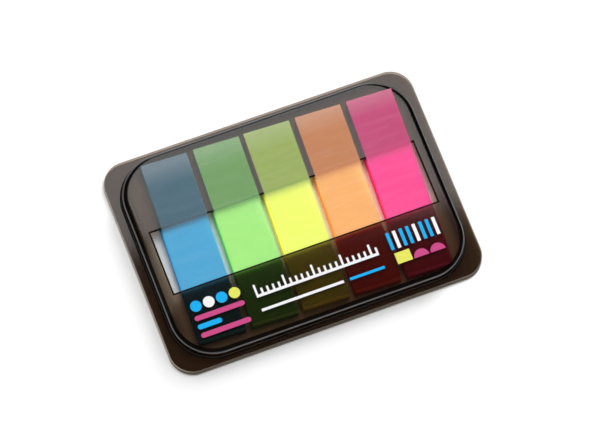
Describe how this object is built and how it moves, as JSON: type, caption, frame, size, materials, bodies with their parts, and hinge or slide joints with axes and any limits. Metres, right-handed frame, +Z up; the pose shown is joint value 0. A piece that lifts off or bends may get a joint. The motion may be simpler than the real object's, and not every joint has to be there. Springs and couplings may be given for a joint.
{
  "type": "index flag set in a case",
  "caption": "Flat smoked plastic case with a raised, windowed front, holding a row of coloured film index flag pads on a white card, with the top flag of each pad drawn out over the front.",
  "frame": {"origin": "centre of the footprint, on the surface that the back cover lies on", "axes": "+Z up through the raised front, +X along the long side, +Y towards the edge that the flags' free ends point to"},
  "size_m": [0.0818, 0.0574, 0.0043],
  "materials": {
    "smoked_sheet": "glossy smoked film, see-through",
    "pale_smoked_sheet": "glossy pale smoked film, see-through",
    "white_card": "matt white card",
    "film_blue": "frosted coloured film",
    "film_green": "frosted coloured film",
    "film_yellow": "frosted coloured film",
    "film_orange": "frosted coloured film",
    "film_pink": "frosted coloured film",
    "ink_white": "opaque printed ink",
    "ink_cyan": "opaque printed ink",
    "ink_yellow": "opaque printed ink",
    "ink_magenta": "opaque printed ink"
  },
  "bodies": {
    "root": {"back_cover": "pale_smoked_sheet", "backing_card": "white_card", "flag_pad_blue": "film_blue", "flag_pad_green": "film_green", "flag_pad_orange": "film_orange", "flag_pad_pink": "film_pink", "flag_pad_yellow": "film_yellow", "front_cover": "smoked_sheet", "print_bar_1": "ink_magenta", "print_bar_2": "ink_cyan", "print_bar_3": "ink_magenta", "print_block": "ink_yellow", "print_disc_1": "ink_cyan", "print_disc_2": "ink_white", "print_disc_3": "ink_cyan", "print_disc_4": "ink_yellow", "print_half_disc_1": "ink_magenta", "print_half_disc_2": "ink_magenta", "print_rule_long": "ink_white", "print_rule_short": "ink_cyan", "print_scale": "ink_white", "print_stripe_1": "ink_cyan", "print_stripe_2": "ink_white", "print_stripe_3": "ink_cyan", "print_stripe_4": "ink_cyan", "print_stripe_5": "ink_white", "print_stripe_6": "ink_cyan", "print_stripe_7": "ink_cyan", "print_stripe_8": "ink_white", "top_flag_blue": "film_blue", "top_flag_green": "film_green", "top_flag_orange": "film_orange", "top_flag_pink": "film_pink", "top_flag_yellow": "film_yellow"}
  },
  "joints": []
}
